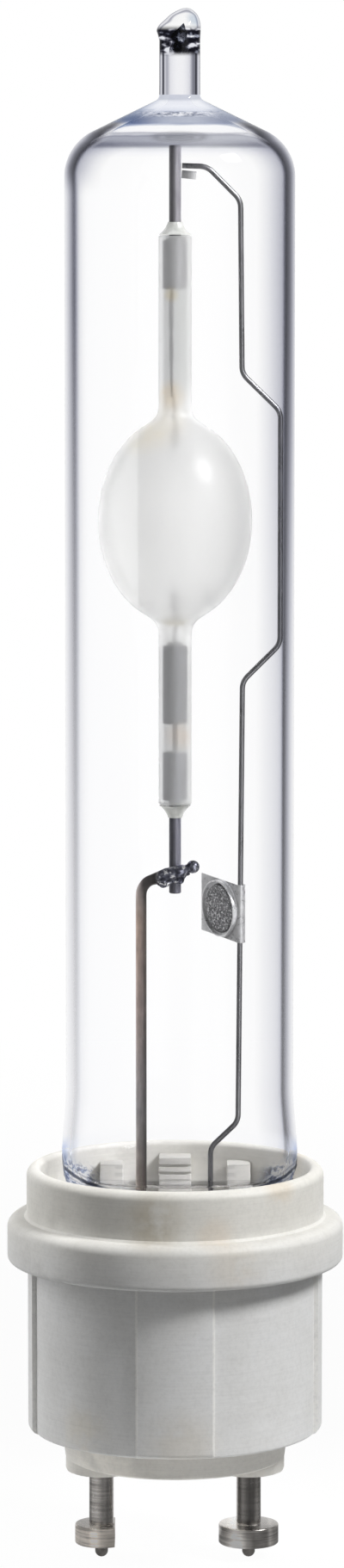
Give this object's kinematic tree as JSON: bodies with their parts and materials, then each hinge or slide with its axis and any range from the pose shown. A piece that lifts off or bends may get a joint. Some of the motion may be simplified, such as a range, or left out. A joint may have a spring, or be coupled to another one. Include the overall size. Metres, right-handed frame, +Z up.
{
  "type": "metal halide lamp",
  "caption": "Single-ended discharge lamp: ceramic twist-lock base with headed contact pins, clear tubular outer bulb and a ceramic arc tube on its wire frame.",
  "frame": {"origin": "centre of the plinth's flat underside, midway between the contact pins", "axes": "+Z up the lamp from the plinth to the bulb's tip, +X from the pin with the cut head to the pin with the round head"},
  "size_m": [0.0408, 0.0408, 0.1878],
  "materials": {
    "steatite": "matte, unglazed",
    "nickel_plate": "nickel plated, satin",
    "nickel_wire": "drawn wire, satin, melted end",
    "molybdenum": "rolled, satin",
    "clear_quartz": "clear, polished",
    "cement": "rough, matte",
    "alumina": "translucent, satin",
    "frit_glass": "glassy, gloss",
    "niobium": "oxidised, satin",
    "tungsten": "dark, satin",
    "blued_steel": "blued by heat, satin",
    "frame_steel": "drawn wire, satin",
    "bright_strip": "rolled, satin",
    "getter_steel": "stamped, satin",
    "getter_powder": "sintered powder, matte",
    "salt": "fused salt, satin",
    "mercury": "liquid metal, polished"
  },
  "bodies": {
    "root": {"ceramic_base": "steatite", "contact_pin_left": "nickel_plate", "contact_pin_right": "nickel_plate", "outer_lead_left": "nickel_wire", "outer_lead_right": "nickel_wire", "seal_foil_left": "molybdenum", "seal_foil_right": "molybdenum", "outer_bulb": "clear_quartz", "base_cement": "cement", "arc_tube": "alumina", "frit_seal_upper": "frit_glass", "frit_seal_lower": "frit_glass", "niobium_lead_upper": "niobium", "niobium_lead_lower": "niobium", "feedthrough_rod_upper": "molybdenum", "feedthrough_rod_lower": "molybdenum", "electrode_rod_upper": "tungsten", "electrode_rod_lower": "tungsten", "electrode_coil_upper": "tungsten", "electrode_coil_lower": "tungsten", "support_lead": "blued_steel", "frame_wire": "frame_steel", "weld_strip": "bright_strip", "getter_plate": "getter_steel", "getter_pellet": "getter_powder", "halide_salt": "salt", "mercury_drop": "mercury"}
  },
  "joints": []
}
